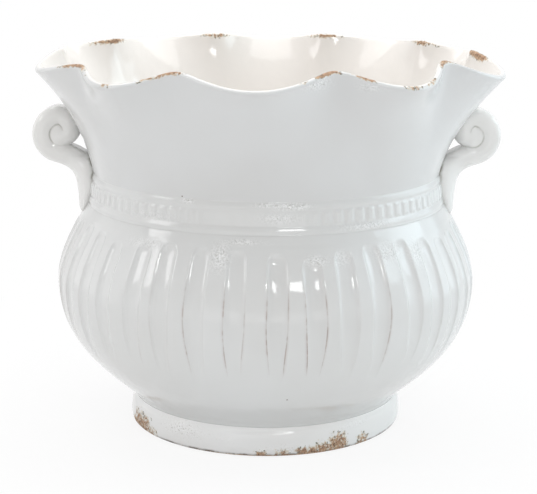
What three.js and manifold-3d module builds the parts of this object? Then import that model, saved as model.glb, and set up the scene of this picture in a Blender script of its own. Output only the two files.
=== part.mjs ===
// A glazed earthenware cachepot: a fluted bowl on a turned foot, a flared collar with a pinched
// wavy rim, a band of dentils over the seam between the two, and a pair of rolled scroll handles.
// Millimetres and degrees, +Z up, the origin under the centre of the foot, the front towards -Y.

import * as THREE from 'three';
import { mergeVertices } from 'three/addons/utils/BufferGeometryUtils.js';
import Module from 'manifold-3d';

const wasm = await Module();
wasm.setup();

// Foot ring
const footHeight = 21.5;
const footBaseRadius = 97.5;
const footBulgeRadius = 102.8;
const footCreaseRadius = 97.4;
const footWall = 14;

// Bowl: the flares say how far its outline leans out at the foot and at the shoulder, and the
// fullnesses how upright it stands below and above the belt, as shares of the height there
const beltHeight = 110;
const beltRadius = 154.9;
const shoulderHeight = 167;
const shoulderRadius = 131.5;
const footFlare = 22;
const shoulderFlare = 9.5;
const lowerFullness = 0.55;
const upperFullness = 0.32;
const bowlWall = 8;
const floorThickness = 12;
const drainRadius = 9;

// Flutes, cut into the bowl with a round loop tool
const fluteCount = 38;
const fluteWidth = 14.6;
const fluteDepth = 1.8;
const fluteTop = 156.3;
const fluteBottom = 68;
const fluteRunOut = 34;
const fluteTopWander = 2.5;
const fluteSideWander = 1.2;
const fluteFloorShare = 0.6;

// Collar and its rim: the ledge of the bowl's shoulder that is left for the band, and how far the
// collar stands out over its seat. A crest is pinched up and in, a lobe is rolled out and down
const ledgeWidth = 5.5;
const waistOverhang = 1.5;
const collarWall = 7;
const lipThickness = 5;
const crestRadius = 153;
const crestHeight = 274;
const crestRounding = 0.3;
const lobeRadius = 169;
const lobeHeight = 267;

// The ten crests by angle, and how far the hand moved each crest and the lobe after it
const crestAngles = [7.6, 36.4, 71.6, 105.9, 143.8, 171.6, 215, 247.4, 287.1, 323.1];
const crestOut = [4.3, 0, 0, 0, 0, 6, 3, 2, -2.5, -1.5];
const crestUp = [-0.8, 0, 0, 0, 0, -1.2, -1, 0.3, 1.5, 3];
const lobeOut = [0, 0, 0, 0, 0, -1.5, 0, 0, 0, 5];
const lobeUp = [0, 1.3, 0, 1.3, 2, -3.2, -3.8, -3.3, -3.3, -4.8];
const lobeLean = [0, 0, 0, 0, 0, 0.15, 0, 0, 0, 0.28];

// Relief band over the seam
const bandHeight = 21.4;
const bandLean = 1.6;
const bandThickness = 2;
const ridgeRelief = 1.5;
const ridgeHeight = 4.2;
const dentilCount = 98;
const dentilWidth = 5;
const dentilHeight = 8.8;
const dentilRelief = 1;

// Scroll handles: a strap rolled on itself at the top, its foot luted to the shoulder
const strapWidth = 23;
const strapRounding = 5;
const scrollRadius = 21.3;
const scrollReach = 23.5;
const scrollRise = 48;
const eyeRadius = 8;
const rollGap = 1.1;

// Slip gap left between two luted pieces
const seam = 0.3;

// Facets round the pot and along its curves
const roundSteps = 64;
const stepsPerLobe = 8;
const curveSteps = 6;

const seamHeight = shoulderHeight + bandHeight / 2;
const floorTop = footHeight + floorThickness;
const waistHeight = shoulderHeight + bandHeight;
const seatRadius = shoulderRadius - ledgeWidth;
const waistRadius = seatRadius + waistOverhang;
const radians = THREE.MathUtils.degToRad;
const point = (r, z) => new THREE.Vector2(r, z);

// Booleans on closed meshes

function solidOf(geometry) {
  const bare = geometry.clone();
  bare.deleteAttribute('normal');
  bare.deleteAttribute('uv');
  const merged = mergeVertices(bare, 1e-3);
  return new wasm.Manifold(
    new wasm.Mesh({
      numProp: 3,
      vertProperties: new Float32Array(merged.attributes.position.array),
      triVerts: new Uint32Array(merged.index.array),
    }),
  );
}

function geometryOf(solid) {
  const mesh = solid.getMesh();
  const geometry = new THREE.BufferGeometry();
  geometry.setAttribute('position', new THREE.BufferAttribute(mesh.vertProperties, 3));
  geometry.setIndex(new THREE.BufferAttribute(mesh.triVerts, 1));
  return geometry;
}

// Turned, lofted and inset shapes

// Turns a closed outline of radius and height round the pot's axis.
function turned(outline) {
  return new THREE.LatheGeometry([...outline, outline[0]], roundSteps).rotateX(Math.PI / 2);
}

// A skin through closed sections of equal length, which follow each other right round the pot.
function lofted(sections) {
  const size = sections[0].length;
  const positions = sections.flat().flatMap((p) => [p.x, p.y, p.z]);
  const faces = [];
  for (let i = 0; i < sections.length; i++) {
    const here = i * size;
    const next = ((i + 1) % sections.length) * size;
    for (let j = 0; j < size; j++) {
      const k = (j + 1) % size;
      faces.push(here + j, next + j, next + k, here + j, next + k, here + k);
    }
  }
  const geometry = new THREE.BufferGeometry();
  geometry.setAttribute('position', new THREE.Float32BufferAttribute(positions, 3));
  geometry.setIndex(faces);
  return geometry;
}

// The same line of radius and height, moved into the wall by the thickness at each share of its length.
function inset(line, thicknessAt) {
  return line.map((p, i) => {
    const before = line[Math.max(i - 1, 0)];
    const after = line[Math.min(i + 1, line.length - 1)];
    const along = after.clone().sub(before).normalize();
    const wall = thicknessAt(i / (line.length - 1));
    return point(p.x - along.y * wall, p.y + along.x * wall);
  });
}

// An outline of radius and height, stood up in space at an angle round the pot.
function standing(outline, angle) {
  const turn = radians(angle);
  return outline.map((p) => new THREE.Vector3(p.x * Math.cos(turn), p.x * Math.sin(turn), p.y));
}

// Foot ring

function footRing() {
  const top = footHeight - seam;
  const bulge = new THREE.SplineCurve([
    point(footBaseRadius, 0),
    point(footBulgeRadius - 1.6, 1.6),
    point(footBulgeRadius, 0.26 * footHeight),
    point(footBulgeRadius - 0.3, 0.56 * footHeight),
    point(footBulgeRadius - 2.8, 0.81 * footHeight),
    point(footCreaseRadius, top),
  ]);
  const inner = footCreaseRadius - footWall;
  return turned([...bulge.getPoints(curveSteps), point(inner, top), point(inner + 1, 0)]);
}

// Bowl

// The smooth outside of the bowl, from the crease over the foot, by the belt, to the shoulder.
function bellyLine(steps) {
  const rise = beltHeight - footHeight;
  const fall = shoulderHeight - beltHeight;
  const lower = new THREE.CubicBezierCurve(
    point(footCreaseRadius, footHeight),
    point(footCreaseRadius + footFlare, footHeight + 0.25 * rise),
    point(beltRadius, beltHeight - lowerFullness * rise),
    point(beltRadius, beltHeight),
  );
  const upper = new THREE.CubicBezierCurve(
    point(beltRadius, beltHeight),
    point(beltRadius, beltHeight + upperFullness * fall),
    point(shoulderRadius + shoulderFlare, shoulderHeight - 0.3 * fall),
    point(shoulderRadius, shoulderHeight),
  );
  return [...lower.getPoints(steps), ...upper.getPoints(steps).slice(1)];
}

const smoothBelly = bellyLine(40);

function bellyRadius(z) {
  const i = Math.max(1, smoothBelly.findIndex((p) => p.y >= z));
  const share = (z - smoothBelly[i - 1].y) / (smoothBelly[i].y - smoothBelly[i - 1].y);
  return THREE.MathUtils.lerp(smoothBelly[i - 1].x, smoothBelly[i].x, share);
}

// The spacing and the tops of the flutes wander a little, as they do when cut by eye.
function fluteAngle(index) {
  const even = (360 / fluteCount) * index;
  const drift = Math.sin(radians(2 * even + 59)) + Math.sin(radians(3 * even - 21));
  return even + 1.6 + fluteSideWander * drift;
}

function fluteTopAt(angle) {
  return fluteTop + fluteTopWander * Math.cos(radians(7 * (angle - 36)));
}

// The fluted outside along one line up the bowl. A flute has a flat floor, is round at its top and
// runs out at the bottom. The line stands at a share of the half width from the flute's middle.
function flutedLine(top, share) {
  const half = fluteWidth / 2;
  const { lerp, smoothstep } = THREE.MathUtils;
  const under = [0, 0.16, 0.5].map((s) => lerp(footHeight, fluteBottom, s));
  const along = [0, 0.24, 0.5, 0.76, 1].map((s) => lerp(fluteBottom, top - half, s));
  const heights = [...under, ...along, top - 0.4 * half, top, shoulderHeight];
  return heights.map((z) => {
    const runOut = smoothstep(z, fluteBottom, fluteBottom + fluteRunOut);
    const roundTop = Math.max(0, (z - top + half) / half);
    const cut = fluteDepth * runOut * Math.max(0, 1 - share ** 4 - roundTop ** 2);
    return point(bellyRadius(z) - cut, z);
  });
}

// The bowl as a full block of clay, with its flutes and the seat for the collar.
function flutedBlock() {
  const halfAngle = THREE.MathUtils.radToDeg(fluteWidth / 2 / beltRadius);
  const sections = [];
  for (let i = 0; i < fluteCount; i++) {
    const middle = fluteAngle(i);
    for (const share of [-1, -fluteFloorShare, fluteFloorShare, 1]) {
      const section = [
        point(0, footHeight),
        ...flutedLine(fluteTopAt(middle), share),
        point(seatRadius, shoulderHeight),
        point(seatRadius, seamHeight),
        point(0, seamHeight),
      ];
      sections.push(standing(section, middle + share * halfAngle - 90));
    }
  }
  return lofted(sections);
}

// The room inside the bowl, with the drain hole under it.
function bowlRoom() {
  const inside = inset(bellyLine(3), () => bowlWall).filter((p) => p.y > floorTop + 3);
  const throat = seatRadius - collarWall;
  return turned([
    point(0, footHeight - 1),
    point(drainRadius, footHeight - 1),
    point(drainRadius, floorTop),
    point(inside[0].x - 7, floorTop),
    ...inside,
    point(throat, seamHeight),
    point(throat, seamHeight + 1),
    point(0, seamHeight + 1),
  ]);
}

function bellyBowl() {
  return geometryOf(solidOf(flutedBlock()).subtract(solidOf(bowlRoom())));
}

// Collar

// How far the rim has rolled out, from a crest, 0, to a lobe, 1, at a share of the way to the next
// crest. The rounding widens the crests, and the lean moves the lobe towards one of them.
function lobeShare(share, lean) {
  const leaning = share + lean * share * (1 - share);
  const swing = Math.hypot(Math.sin(Math.PI * leaning), crestRounding) - crestRounding;
  return swing / (Math.hypot(1, crestRounding) - crestRounding);
}

// The outside of the collar at a share of the way from one crest to the next, from the waist up
// to the lip. Crest and lobe part only in the upper half, so the collar is round where the band
// and the handles meet it.
function collarLine(index, share) {
  const next = (index + 1) % crestAngles.length;
  const between = (values) => THREE.MathUtils.lerp(values[index], values[next], share);
  const crestEnd = point(crestRadius + between(crestOut), crestHeight + between(crestUp));
  const lobeEnd = point(lobeRadius + lobeOut[index], lobeHeight + lobeUp[index]);
  const waist = point(waistRadius, waistHeight);
  const throat = point(waistRadius + 5.5, waistHeight + 26.5);
  const crestLean = crestEnd.clone().add(point(-3, -31));
  const lobeFlare = lobeEnd.clone().add(point(-24, -25));
  const crest = new THREE.CubicBezierCurve(waist, throat, crestLean, crestEnd);
  const lobe = new THREE.CubicBezierCurve(waist, throat, lobeFlare, lobeEnd);
  const rolled = lobeShare(share, lobeLean[index]);
  return crest.getPoints(curveSteps).map((p, i) => p.lerp(lobe.getPoint(i / curveSteps), rolled));
}

function collarSection(outside) {
  const inside = inset(outside, (share) => THREE.MathUtils.lerp(collarWall, lipThickness, share));
  const lipOut = outside.at(-1);
  const lipIn = inside.at(-1);
  const crown = lipOut.clone().sub(lipIn).rotateAround(point(0, 0), Math.PI / 2);
  const lipTop = lipOut.clone().lerp(lipIn, 0.5).addScaledVector(crown, 0.4);
  const bottom = seamHeight + seam;
  return [
    point(seatRadius, bottom),
    point(seatRadius, waistHeight),
    ...outside,
    lipTop,
    ...inside.reverse(),
    point(seatRadius - collarWall, bottom),
  ];
}

function neckCollar() {
  const sections = crestAngles.flatMap((from, index) => {
    const to = crestAngles[index + 1] ?? crestAngles[0] + 360;
    const shares = Array.from({ length: stepsPerLobe }, (_, step) => step / stepsPerLobe);
    return shares.map((share) => {
      const angle = THREE.MathUtils.lerp(from, to, share);
      return standing(collarSection(collarLine(index, share)), angle);
    });
  });
  return lofted(sections);
}

// Relief band

const bandBottom = shoulderHeight + seam;
const bandTop = waistHeight - seam;

// The band's field leans in towards the waist, and its dentils lean with it.
function fieldRadius(z) {
  const share = (z - bandBottom) / (bandTop - bandBottom);
  return seatRadius + seam + bandThickness + bandLean * (1 - share);
}

function dentil(angle) {
  const root = 1;
  const middle = (bandBottom + bandTop) / 2;
  const block = new THREE.BoxGeometry(root + dentilRelief, dentilWidth, dentilHeight);
  block.rotateY(-Math.atan(bandLean / (bandTop - bandBottom)));
  block.translate(fieldRadius(middle) + (dentilRelief - root) / 2, 0, middle);
  return block.rotateZ(radians(angle));
}

function reliefBand() {
  const inner = seatRadius + seam;
  const lower = bandBottom + ridgeHeight;
  const upper = bandTop - ridgeHeight;
  let band = solidOf(
    turned([
      point(inner, bandBottom),
      point(shoulderRadius, bandBottom),
      point(fieldRadius(bandBottom) + ridgeRelief, bandBottom + 0.3 * ridgeHeight),
      point(fieldRadius(lower) + ridgeRelief, bandBottom + 0.7 * ridgeHeight),
      point(fieldRadius(lower), lower),
      point(fieldRadius(upper), upper),
      point(fieldRadius(upper) + 0.6 * ridgeRelief, upper + 0.35 * ridgeHeight),
      point(fieldRadius(bandTop) + 0.6 * ridgeRelief, upper + 0.7 * ridgeHeight),
      point(waistRadius, bandTop),
      point(inner, bandTop),
    ]),
  );
  for (let i = 0; i < dentilCount; i++) {
    band = band.add(solidOf(dentil((360 / dentilCount) * i)));
  }
  return geometryOf(band);
}

// Handles

const eye = point(waistRadius + scrollReach, shoulderHeight + scrollRise);

// The scroll's radius at an angle from the outer side: full over the top, tightening to the eye.
function scrollAt(angle) {
  const open = 80;
  const tight = 250;
  const hook = 440;
  const closing = THREE.MathUtils.clamp((angle - open) / (tight - open), 0, 1);
  const hooked = 1 - 0.5 * THREE.MathUtils.clamp((angle - hook) / 35, 0, 1);
  return THREE.MathUtils.lerp(scrollRadius, eyeRadius, closing) * hooked;
}

function scrollPoints(from, to, steps, offset) {
  return Array.from({ length: steps + 1 }, (_, i) => {
    const angle = THREE.MathUtils.lerp(from, to, i / steps);
    const r = scrollAt(angle) + offset;
    return point(eye.x + r * Math.cos(radians(angle)), eye.y + r * Math.sin(radians(angle)));
  });
}

function handleOutline() {
  const back = new THREE.SplineCurve([
    point(shoulderRadius + 4.5, shoulderHeight - 12),
    point(shoulderRadius + 7.2, shoulderHeight - 5),
    point(waistRadius + 11.4, shoulderHeight + 7),
    point(waistRadius + 13.7, shoulderHeight + 17.5),
    point(waistRadius + 18.3, shoulderHeight + 23),
    point(eye.x + 0.5, eye.y - scrollRadius - 0.8),
  ]);
  const crotch = point(eye.x - 6, eye.y - 7.4);
  const inside = [
    crotch,
    point(waistRadius + 6.2, eye.y - 13),
    point(waistRadius - 2 * strapRounding, shoulderHeight + 29),
    point(waistRadius - 2 * strapRounding, shoulderHeight - 20),
    point(shoulderRadius + 2, shoulderHeight - 20),
  ];
  return [...back.getPoints(12), ...scrollPoints(-75, 215, 22, 0), ...inside];
}

// What the handle is luted to: the shoulder, the band and the waist as one turned body.
function handleSeat() {
  const ridge = fieldRadius(bandBottom) + ridgeRelief;
  const lower = bandBottom + ridgeHeight;
  const outline = [
    point(0, beltHeight),
    ...bellyLine(4).filter((p) => p.y >= beltHeight),
    point(ridge, bandBottom),
    point(ridge, lower),
    point(fieldRadius(lower) + dentilRelief, lower),
    point(fieldRadius(bandTop) + dentilRelief, bandTop),
    point(waistRadius, waistHeight),
    point(waistRadius, waistHeight + bandHeight),
    point(0, waistHeight + bandHeight),
  ];
  return turned(outline);
}

function scrollHandle(turn, collar) {
  const body = new THREE.ExtrudeGeometry(new THREE.Shape(handleOutline()), {
    depth: strapWidth - 2 * strapRounding,
    bevelThickness: strapRounding,
    bevelSize: strapRounding,
    bevelOffset: -strapRounding,
    bevelSegments: 2,
  });
  const roll = [
    ...scrollPoints(232, 475, 20, rollGap / 2),
    ...scrollPoints(475, 232, 20, -rollGap / 2),
  ];
  const slit = new THREE.ExtrudeGeometry(new THREE.Shape(roll), {
    depth: 2 * strapWidth,
    bevelEnabled: false,
  });
  body.translate(0, 0, strapRounding - strapWidth / 2);
  slit.translate(0, 0, -strapWidth);
  let handle = solidOf(body).subtract(solidOf(slit));
  handle = solidOf(geometryOf(handle).rotateX(Math.PI / 2).rotateZ(radians(turn)));
  const grown = 1 + seam / waistRadius;
  for (const neighbour of [handleSeat(), collar.clone()]) {
    handle = handle.subtract(solidOf(neighbour.scale(grown, grown, 1)));
  }
  // The root that reached through the wall is trimmed off inside the pot.
  const outside = handle.decompose().sort((a, b) => b.volume() - a.volume())[0];
  return geometryOf(outside);
}

// Materials and assembly

function glaze(name, color) {
  return new THREE.MeshStandardMaterial({ name, color, roughness: 0.12, metalness: 0 });
}

function piece(name, geometry, material) {
  geometry.computeVertexNormals();
  const mesh = new THREE.Mesh(geometry, material);
  mesh.name = name;
  return mesh;
}

const collar = neckCollar();

const handles = new THREE.Group();
handles.add(piece('handle_right', scrollHandle(0, collar), glaze('handle', 0xe4e4e0)));
handles.add(piece('handle_left', scrollHandle(180, collar), glaze('handle', 0xe4e4e0)));

const cachepot = new THREE.Group();
cachepot.add(piece('foot_ring', footRing(), glaze('foot', 0xdedad2)));
cachepot.add(piece('belly_bowl', bellyBowl(), glaze('bowl', 0xe6e7e6)));
cachepot.add(piece('neck_collar', collar, glaze('collar', 0xe8e8e6)));
cachepot.add(piece('relief_band', reliefBand(), glaze('band', 0xe6e7e6)));
cachepot.add(handles);

export default cachepot;
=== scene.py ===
# %% [markdown]
# # A glazed planter pot with a pinched rim
# The real pot is red earthenware under a glossy white glaze. It has a fluted bowl on a turned foot,
# a flared collar pinched into ten crests, a pressed band over the seam between the two, and a rolled
# scroll handle on each side. The solid model gives every size, so it is loaded first, and each of
# its pieces is then replaced by one with the softness that slip, glaze and wear give the real thing.

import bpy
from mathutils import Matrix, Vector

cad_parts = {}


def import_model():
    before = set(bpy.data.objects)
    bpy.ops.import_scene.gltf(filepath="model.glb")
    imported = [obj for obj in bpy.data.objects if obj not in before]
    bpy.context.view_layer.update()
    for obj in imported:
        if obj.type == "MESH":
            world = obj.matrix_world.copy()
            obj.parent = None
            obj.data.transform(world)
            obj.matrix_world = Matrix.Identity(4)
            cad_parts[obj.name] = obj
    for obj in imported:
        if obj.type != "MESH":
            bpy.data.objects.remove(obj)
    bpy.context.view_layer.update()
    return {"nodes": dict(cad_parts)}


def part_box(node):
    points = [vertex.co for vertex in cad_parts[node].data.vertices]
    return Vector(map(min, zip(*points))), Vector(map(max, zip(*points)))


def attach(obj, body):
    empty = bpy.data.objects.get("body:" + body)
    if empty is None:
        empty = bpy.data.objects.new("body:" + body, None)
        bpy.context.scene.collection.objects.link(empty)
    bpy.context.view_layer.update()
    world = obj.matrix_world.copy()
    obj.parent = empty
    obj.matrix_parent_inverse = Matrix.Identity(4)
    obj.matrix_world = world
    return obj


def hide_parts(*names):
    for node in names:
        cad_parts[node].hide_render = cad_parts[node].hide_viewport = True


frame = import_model()
print("solid pieces:", sorted(frame["nodes"]))

# %% Tools and units
import math

import bmesh
import bpy
import numpy as np
from mathutils import Vector
from mathutils.geometry import interpolate_bezier

MM = 0.001
scene = bpy.context.scene
scene.view_settings.view_transform = "Standard"

# %% [markdown]
# ## The camera
# The photograph was taken from a little above the rim. The tilt of the rim, the band and the foot
# gave the camera's height, pitch and distance, so it is set from those numbers and not by eye. The
# lens is a long one, because the pot fills a narrow angle.

# %% Camera
camera = bpy.data.objects.new("camera", bpy.data.cameras.new("camera"))
scene.collection.objects.link(camera)
scene.camera = camera
photo_width, focal_length, off_centre = 537, 1548, 2.5  # in pixels of the photograph
pitch_down, roll = 12.91, 0.29
camera.data.sensor_width = 36
camera.data.lens = focal_length / photo_width * camera.data.sensor_width
camera.data.shift_x = off_centre / photo_width
camera.location = (0, -1.133, 0.389)
camera.rotation_euler = (math.radians(90 - pitch_down), 0, 0)
camera.rotation_euler.rotate_axis("Z", math.radians(roll))
print("camera lens", round(camera.data.lens, 1), "mm, tilted down by", pitch_down, "degrees")

# %% [markdown]
# ## Light, floor and background
# White glaze is judged by what it reflects. Two windows stand to the sides, white panels beside and
# below them lift the sides and the foot, a large soft box hangs above, and a wide window in front
# gives the crisp highlights on the belly, the band and the foot. The world is white where the
# camera or a reflection sees it, and dimmer where it only lights the pot.


# %% Lamps
def soft_box(name, place, target, width, height, power, colour=(1, 1, 1)):
    """An area lamp at a place, turned towards a target."""
    lamp = bpy.data.lights.new(name, "AREA")
    lamp.shape = "RECTANGLE"
    lamp.size, lamp.size_y = width, height
    lamp.energy = power
    lamp.color = colour
    box = bpy.data.objects.new(name, lamp)
    box.location = place
    box.rotation_euler = (Vector(target) - Vector(place)).to_track_quat("-Z", "Y").to_euler()
    scene.collection.objects.link(box)


def towards(azimuth, elevation, distance):
    """A place at a distance from the pot: azimuth from the front towards the right, in degrees."""
    turn, rise = math.radians(azimuth), math.radians(elevation)
    flat = distance * math.cos(rise)
    return (flat * math.sin(turn), -flat * math.cos(turn), distance * math.sin(rise) + 0.12)


pot_middle = (0, 0, 0.14)
cool = (0.76, 0.93, 1)
soft_box("left_window", (-1.27, -0.43, 0.81), pot_middle, 0.42, 0.44, 2.3)
soft_box("right_window", (1.37, 0.05, 0.8), pot_middle, 1.0, 0.4, 3.1, cool)
soft_box("left_panel", (-1.45, 0.35, 0.4), pot_middle, 1.2, 1.1, 2.2)
soft_box("right_panel", (1.45, 0.35, 0.4), pot_middle, 1.2, 1.1, 4.8, cool)
soft_box("low_front_panel", (0, -1.25, 0.12), (0, 0, 0.05), 1.6, 0.36, 1.3)
soft_box("top_soft_box", (0, 0.35, 1.6), pot_middle, 1.9, 1.7, 21)
soft_box("front_window", towards(16, 30, 1.5), pot_middle, 0.4, 0.14, 1.9)


# %% Shader helpers
def add_node(tree, kind, **settings):
    """Adds a node, sets its properties and gives it back."""
    made = tree.nodes.new(kind)
    for name, value in settings.items():
        setattr(made, name, value)
    return made


def wire(tree, source, target):
    """Joins an output socket to an input socket."""
    tree.links.new(source, target)


def arithmetic(tree, operation, first, second, clamp=False):
    """A Math node whose inputs are sockets or plain numbers."""
    made = add_node(tree, "ShaderNodeMath", operation=operation, use_clamp=clamp)
    for slot, value in zip(made.inputs, (first, second)):
        if isinstance(value, (int, float)):
            slot.default_value = value
        else:
            wire(tree, value, slot)
    return made.outputs[0]


def ramp(tree, source, low, high, bottom=0.0, top=1.0):
    """Maps a span of values to another with soft ends."""
    made = add_node(tree, "ShaderNodeMapRange", interpolation_type="SMOOTHSTEP")
    wire(tree, source, made.inputs["Value"])
    made.inputs["From Min"].default_value = low
    made.inputs["From Max"].default_value = high
    made.inputs["To Min"].default_value = bottom
    made.inputs["To Max"].default_value = top
    return made.outputs["Result"]


def seen_directly(tree):
    """A mask of 1 where the camera, a reflection or a view through glass meets the surface."""
    path = add_node(tree, "ShaderNodeLightPath")
    total = path.outputs["Is Camera Ray"]
    for ray in ("Is Glossy Ray", "Is Transmission Ray"):
        total = arithmetic(tree, "ADD", total, path.outputs[ray], clamp=True)
    return total


def mixed_shader(tree, mask, dark, lit, kind):
    """Sends one shader to the output where a mask is 0, and another where it is 1."""
    mix = add_node(tree, "ShaderNodeMixShader")
    out = add_node(tree, kind)
    for slot, source in zip(mix.inputs, (mask, dark.outputs[0], lit.outputs[0])):
        wire(tree, source, slot)
    wire(tree, mix.outputs[0], out.inputs["Surface"])


def plain_shader(tree, kind, grey, strength=None):
    """A shader of one grey, with a strength where it gives off light."""
    made = add_node(tree, kind)
    made.inputs["Color"].default_value = (grey, grey, grey, 1)
    if strength is not None:
        made.inputs["Strength"].default_value = strength
    return made


# %% World
world = bpy.data.worlds.new("white_studio")
scene.world = world
world.use_nodes = True
sky = world.node_tree
sky.nodes.clear()
room_strength = 0.48
room_light = plain_shader(sky, "ShaderNodeBackground", 1, room_strength)
white_back = plain_shader(sky, "ShaderNodeBackground", 1, 1)
mixed_shader(sky, seen_directly(sky), room_light, white_back, "ShaderNodeOutputWorld")
print("the room lights the pot with a strength of", room_strength)


# %% Floor
def object_of(shape, name):
    """Turns a bmesh into a smooth-shaded object at the origin."""
    mesh = bpy.data.meshes.new(name)
    shape.to_mesh(mesh)
    shape.free()
    mesh.shade_smooth()
    made = bpy.data.objects.new(name, mesh)
    scene.collection.objects.link(made)
    return made


floor_shape = bmesh.new()
floor_half = 8
bmesh.ops.create_grid(floor_shape, x_segments=1, y_segments=1, size=floor_half)
floor = object_of(floor_shape, "floor")
print("floor:", 2 * floor_half, "metres across")

# %% Floor that fades into the white
floor_paint = bpy.data.materials.new("white_floor")
floor_paint.use_nodes = True
ground = floor_paint.node_tree
ground.nodes.clear()
matt = plain_shader(ground, "ShaderNodeBsdfDiffuse", 0.86)
glow = plain_shader(ground, "ShaderNodeEmission", 1, 1)
spot = add_node(ground, "ShaderNodeTexCoord")
from_pot = add_node(ground, "ShaderNodeVectorMath", operation="LENGTH")
wire(ground, spot.outputs["Object"], from_pot.inputs[0])
shadow_edge, white_edge, under_pot = 0.12, 0.42, 0.88
whiteness = ramp(ground, from_pot.outputs["Value"], shadow_edge, white_edge, under_pot)
glowing = arithmetic(ground, "MULTIPLY", seen_directly(ground), whiteness)
mixed_shader(ground, glowing, matt, glow, "ShaderNodeOutputMaterial")
floor.data.materials.append(floor_paint)
print("the floor is pure white from", white_edge, "metres outwards")

# %% [markdown]
# ## Turned pieces
# The foot, bowl, collar and band were all made on a wheel, so each starts as an outline of radius
# and height that is spun round the pot's axis. The spin gives an even net of columns and rows, and
# every point remembers its row. The hand work comes next: flutes, ruffles and dentils move the
# points of the net, which keeps the skin closed and smooth.


# %% Spin an outline
def spun(name, outline, columns):
    """Spins a closed outline of (radius, height) in millimetres right round the axis."""
    shape = bmesh.new()
    row_of = shape.verts.layers.float.new("row")
    chain = []
    for row, (radius, height) in enumerate(outline):
        dot = shape.verts.new((radius * MM, 0, height * MM))
        dot[row_of] = row
        chain.append(dot)
    line = [shape.edges.new(pair) for pair in zip(chain, chain[1:] + chain[:1])]
    bmesh.ops.spin(
        shape,
        geom=chain + line,
        cent=(0, 0, 0),
        axis=(0, 0, 1),
        angle=math.tau,
        steps=columns,
        use_merge=True,
    )
    bmesh.ops.recalc_face_normals(shape, faces=shape.faces)
    piece = object_of(shape, name)
    print(name, "net:", columns, "columns of", len(outline), "rows,", len(piece.data.polygons), "faces")
    return piece


def points_of(piece):
    """The points of a mesh as rows of x, y and z in metres."""
    spots = np.empty(len(piece.data.vertices) * 3)
    piece.data.vertices.foreach_get("co", spots)
    return spots.reshape(-1, 3)


def net_of(piece, columns):
    """The column and the row of each point of a spun piece."""
    spots = points_of(piece)
    turn = np.arctan2(spots[:, 1], spots[:, 0]) / math.tau * columns
    column = np.round(turn).astype(int) % columns
    row = np.empty(len(spots), dtype=np.float32)
    piece.data.attributes["row"].data.foreach_get("value", row)
    return column, np.round(row).astype(int)


def laid_out(outline, columns):
    """The radius and the height of an outline, repeated for every column of its net."""
    return [np.tile(np.array(side), (columns, 1)) for side in zip(*outline)]


def settle(piece, net, radius, height, angle):
    """Moves every point to its radius and height (mm) and its angle from the +X side (radians)."""
    column, row = net
    r = radius[column, row] * MM
    a = angle[column, row]
    spots = np.stack([r * np.cos(a), r * np.sin(a), height[column, row] * MM], axis=1)
    piece.data.vertices.foreach_set("co", spots.ravel())
    piece.data.update()


def record(piece, net, name, values):
    """Stores a value for every point, which the materials read by its name."""
    column, row = net
    layer = piece.data.attributes.new(name, "FLOAT", "POINT")
    layer.data.foreach_set("value", values[column, row].astype(np.float32))


# %% Curves and soft steps
def bezier(points, count):
    """Points along a cubic curve through two ends with two handles, as (radius, height) pairs."""
    start, first, second, end = [Vector((x, y, 0)) for x, y in points]
    return [(p.x, p.y) for p in interpolate_bezier(start, first, second, end, count)]


def smooth_step(value, low, high):
    """0 below low, 1 above high and a soft ramp between."""
    share = np.clip((value - low) / (high - low), 0, 1)
    return share * share * (3 - 2 * share)


def soft_part(value, softness):
    """The part above zero, with its corner rounded as a layer of glaze rounds it."""
    return (value + np.sqrt(value * value + softness * softness)) / 2


def wrapped(angle):
    """An angle in degrees, brought between -180 and 180."""
    return (angle + 180) % 360 - 180


def front_angle(turn):
    """The angle from the front of an angle from the +X side, both in degrees."""
    return wrapped(turn + 90)


def near(angle, middle, half_width):
    """A bump of 1 round a middle angle, in degrees from the front, that fades to each side."""
    return np.exp(-((wrapped(angle - middle) / half_width) ** 2))


# %% [markdown]
# ## The foot
# The foot is a turned ring with a nearly upright side, rounded where it stands and worn to the clay
# there. It could be a cylinder with bevels, but a smooth curve through a few points gives the whole
# side at once. The ring is a few tenths of a millimetre out of true, as clay is that was lifted off
# the wheel while soft.

# %% Foot outline
foot_low, foot_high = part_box("foot_ring")
foot_height = (foot_high.z - foot_low.z) / MM
foot_side = [(97.8, 0), (100.9, 1.4), (101.7, 5), (101.6, 10), (101, 15), (100, 19)]
foot_side += [(98.9, foot_height + 0.5), (97, foot_height + 1.2)]


def smooth_through(points, each):
    """A smooth line through points, with each stretch cut into a number of steps."""
    spread = np.array([points[0], *points, points[-1]], dtype=float)
    line = []
    for i in range(1, len(spread) - 2):
        before, start, end, after = spread[i - 1 : i + 3]
        for t in np.arange(each) / each:
            line.append(
                0.5
                * (
                    2 * start
                    + (end - before) * t
                    + (2 * before - 5 * start + 4 * end - after) * t**2
                    + (3 * start - before - 3 * end + after) * t**3
                )
            )
    return [tuple(p) for p in line] + [tuple(points[-1])]


foot_columns = 360
foot_outside = smooth_through(foot_side, 7)
foot_inside = [(93, foot_height + 0.6), (88, foot_height), (83.6, foot_height - 1)]
foot_inside += [(83.4, 14), (83.6, 7), (84.2, 1.4), (85.6, 0.1), (89, 0), (93, 0)]
foot_outline = foot_outside + foot_inside
foot = spun("turned_foot", foot_outline, foot_columns)

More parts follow.
